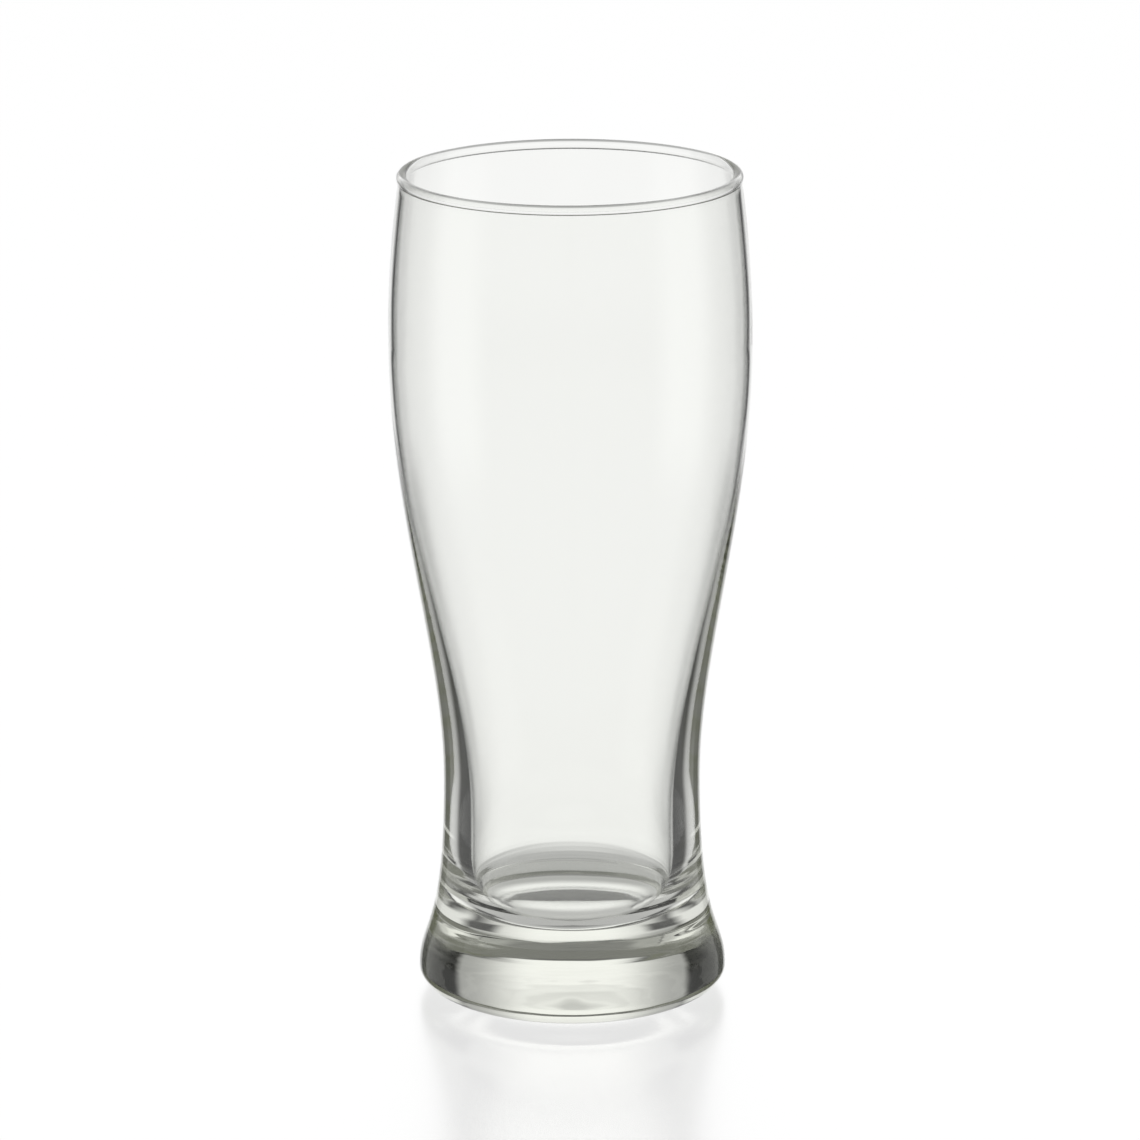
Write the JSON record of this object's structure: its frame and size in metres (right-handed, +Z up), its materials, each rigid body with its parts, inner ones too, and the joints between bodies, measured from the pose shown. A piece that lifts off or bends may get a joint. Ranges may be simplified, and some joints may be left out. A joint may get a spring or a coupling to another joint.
{
  "type": "pint glass",
  "caption": "Tall clear pint glass with a wide bowl, a rolled rim bead, a narrow thick-walled waist and a heavy flared foot.",
  "frame": {"origin": "centre of the circle the glass stands on, at table height", "axes": "+Z up along the glass's axis, out of the mouth; X and Y are free, because the glass is the same all round"},
  "size_m": [0.0808, 0.0808, 0.188],
  "materials": {
    "clear_glass": "clear soda-lime glass, polished inside and out"
  },
  "bodies": {
    "root": {"glass_body": "clear_glass"}
  },
  "joints": []
}
